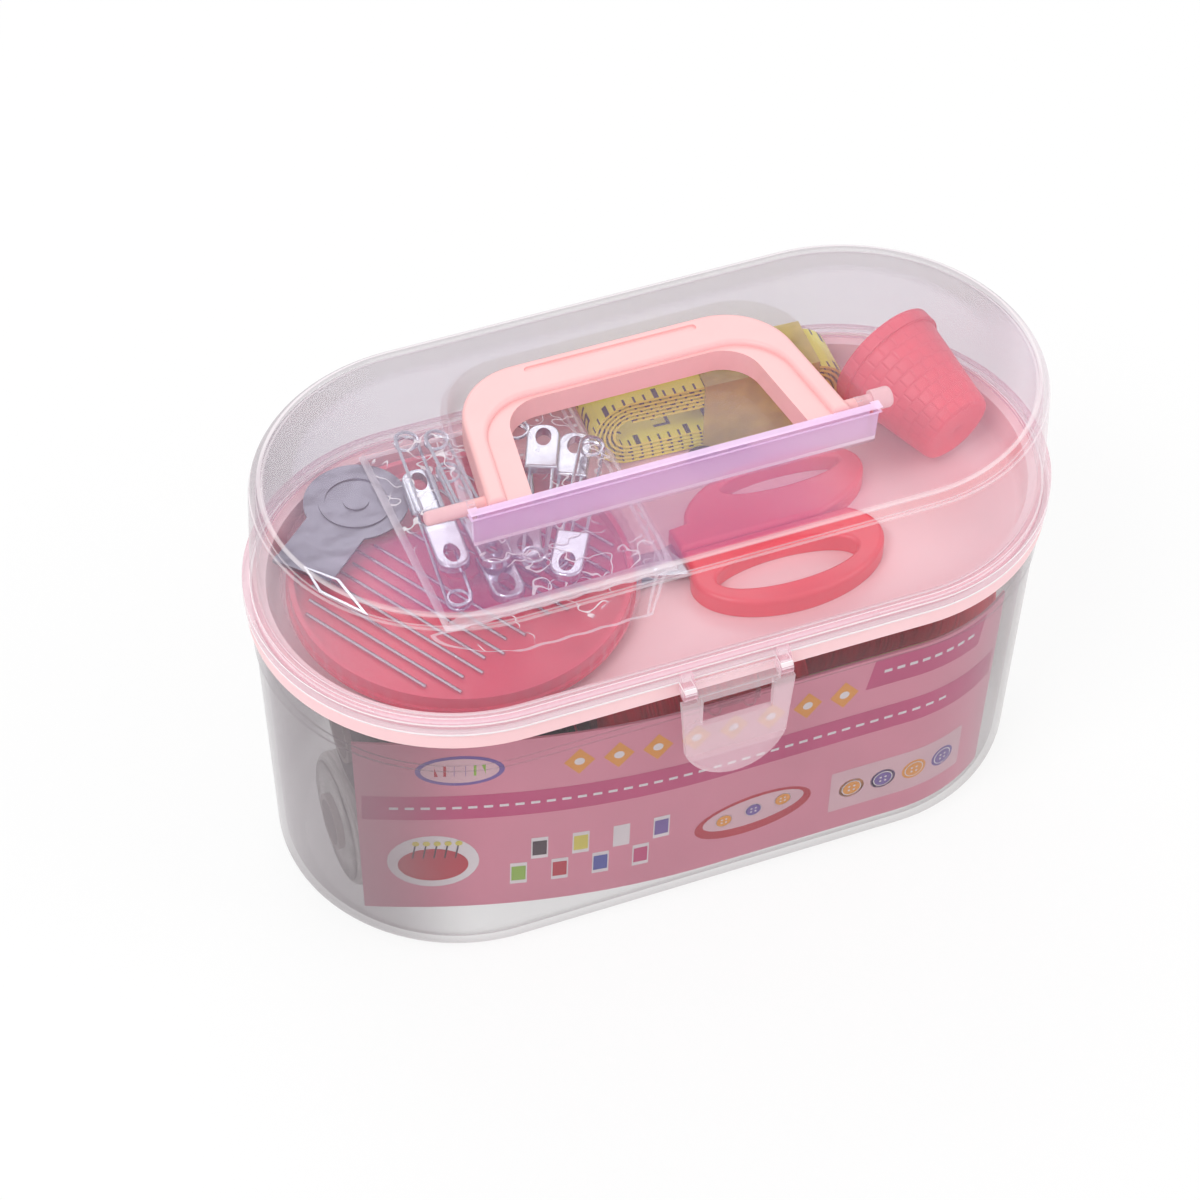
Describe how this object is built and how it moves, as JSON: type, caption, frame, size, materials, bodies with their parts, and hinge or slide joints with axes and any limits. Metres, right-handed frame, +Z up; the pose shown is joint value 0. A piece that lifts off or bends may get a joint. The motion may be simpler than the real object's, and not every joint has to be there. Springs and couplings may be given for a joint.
{
  "type": "sewing kit",
  "caption": "Oval see-through box with a hinged lid, front clasp, folding handle and lift-out tray, filled with thread, scissors, needle case, thimble, tape and pins.",
  "frame": {"origin": "centre of the underside of the closed box, midway between the clasp's front and the hinge's back", "axes": "+X along the box to the right, +Y from the clasp to the hinge, +Z up"},
  "size_m": [0.155, 0.0846, 0.0925],
  "materials": {
    "tub_clear": "clear moulded plastic",
    "lid_clear": "clear moulded plastic with a lilac tint",
    "clasp_clear": "clear milky plastic",
    "tray_pink": "moulded plastic",
    "handle_pink": "satin moulded plastic",
    "card_pink": "printed card",
    "card_tube": "rolled card",
    "steel": "bright",
    "threader_metal": "pressed sheet",
    "grip_red": "moulded plastic",
    "case_crimson": "moulded plastic",
    "case_clear": "clear moulded plastic",
    "thimble_coral": "moulded plastic",
    "tape_yellow": "coated cloth tape",
    "sleeve_olive": "soft band",
    "stud_black": "satin",
    "bag_film": "thin film",
    "thread_black": "wound thread",
    "thread_white": "wound thread",
    "thread_dark_red": "wound thread",
    "thread_pink": "wound thread",
    "thread_blue": "wound thread",
    "thread_green": "wound thread",
    "thread_yellow": "wound thread"
  },
  "bodies": {
    "box": {"base_tub": "tub_clear", "tray": "tray_pink", "label_card": "card_pink", "spool_tubes": "card_tube", "scissor_blade_fixed": "steel", "scissor_rivet": "steel", "scissor_grip_fixed": "grip_red", "needle_case_dish": "case_crimson", "needle_case_stud": "case_crimson", "needles": "steel", "threader_plate": "threader_metal", "threader_loop": "steel", "thimble": "thimble_coral", "tape_roll": "tape_yellow", "tape_sleeve": "sleeve_olive", "press_studs": "stud_black", "safety_pin_wires": "steel", "safety_pin_caps": "steel", "pin_bag": "bag_film", "thread_black": "thread_black", "thread_white": "thread_white", "thread_dark_red": "thread_dark_red", "thread_pink": "thread_pink", "thread_blue": "thread_blue", "thread_green": "thread_green", "thread_yellow": "thread_yellow"},
    "lid": {"lid": "lid_clear"},
    "handle": {"handle": "handle_pink"},
    "clasp": {"clasp": "clasp_clear"},
    "needle_cover": {"needle_case_cover": "case_clear"},
    "scissor_half": {"scissor_blade_moving": "steel", "scissor_grip_moving": "grip_red"}
  },
  "joints": [
    {"name": "lid_hinge", "type": "hinge", "parent": "box", "child": "lid", "pos_m": [0, 0.0405, 0.0645], "axis": [-1, 0, 0], "range_deg": [0, 110]},
    {"name": "handle_hinge", "type": "hinge", "parent": "lid", "child": "handle", "pos_m": [0, -0.0052, 0.0882], "axis": [1, 0, 0], "range_deg": [0, 100]},
    {"name": "clasp_hinge", "type": "hinge", "parent": "lid", "child": "clasp", "pos_m": [0, -0.0402, 0.0645], "axis": [-1, 0, 0], "range_deg": [0, 120]},
    {"name": "needle_cover_turn", "type": "hinge", "parent": "box", "child": "needle_cover", "pos_m": [-0.0375, 0.0005, 0.065], "axis": [0, 0, 1], "continuous": true},
    {"name": "scissors_pivot", "type": "hinge", "parent": "box", "child": "scissor_half", "pos_m": [-0.0015, -0.007, 0.062], "axis": [0, 0, -1], "range_deg": [0, 15]}
  ]
}
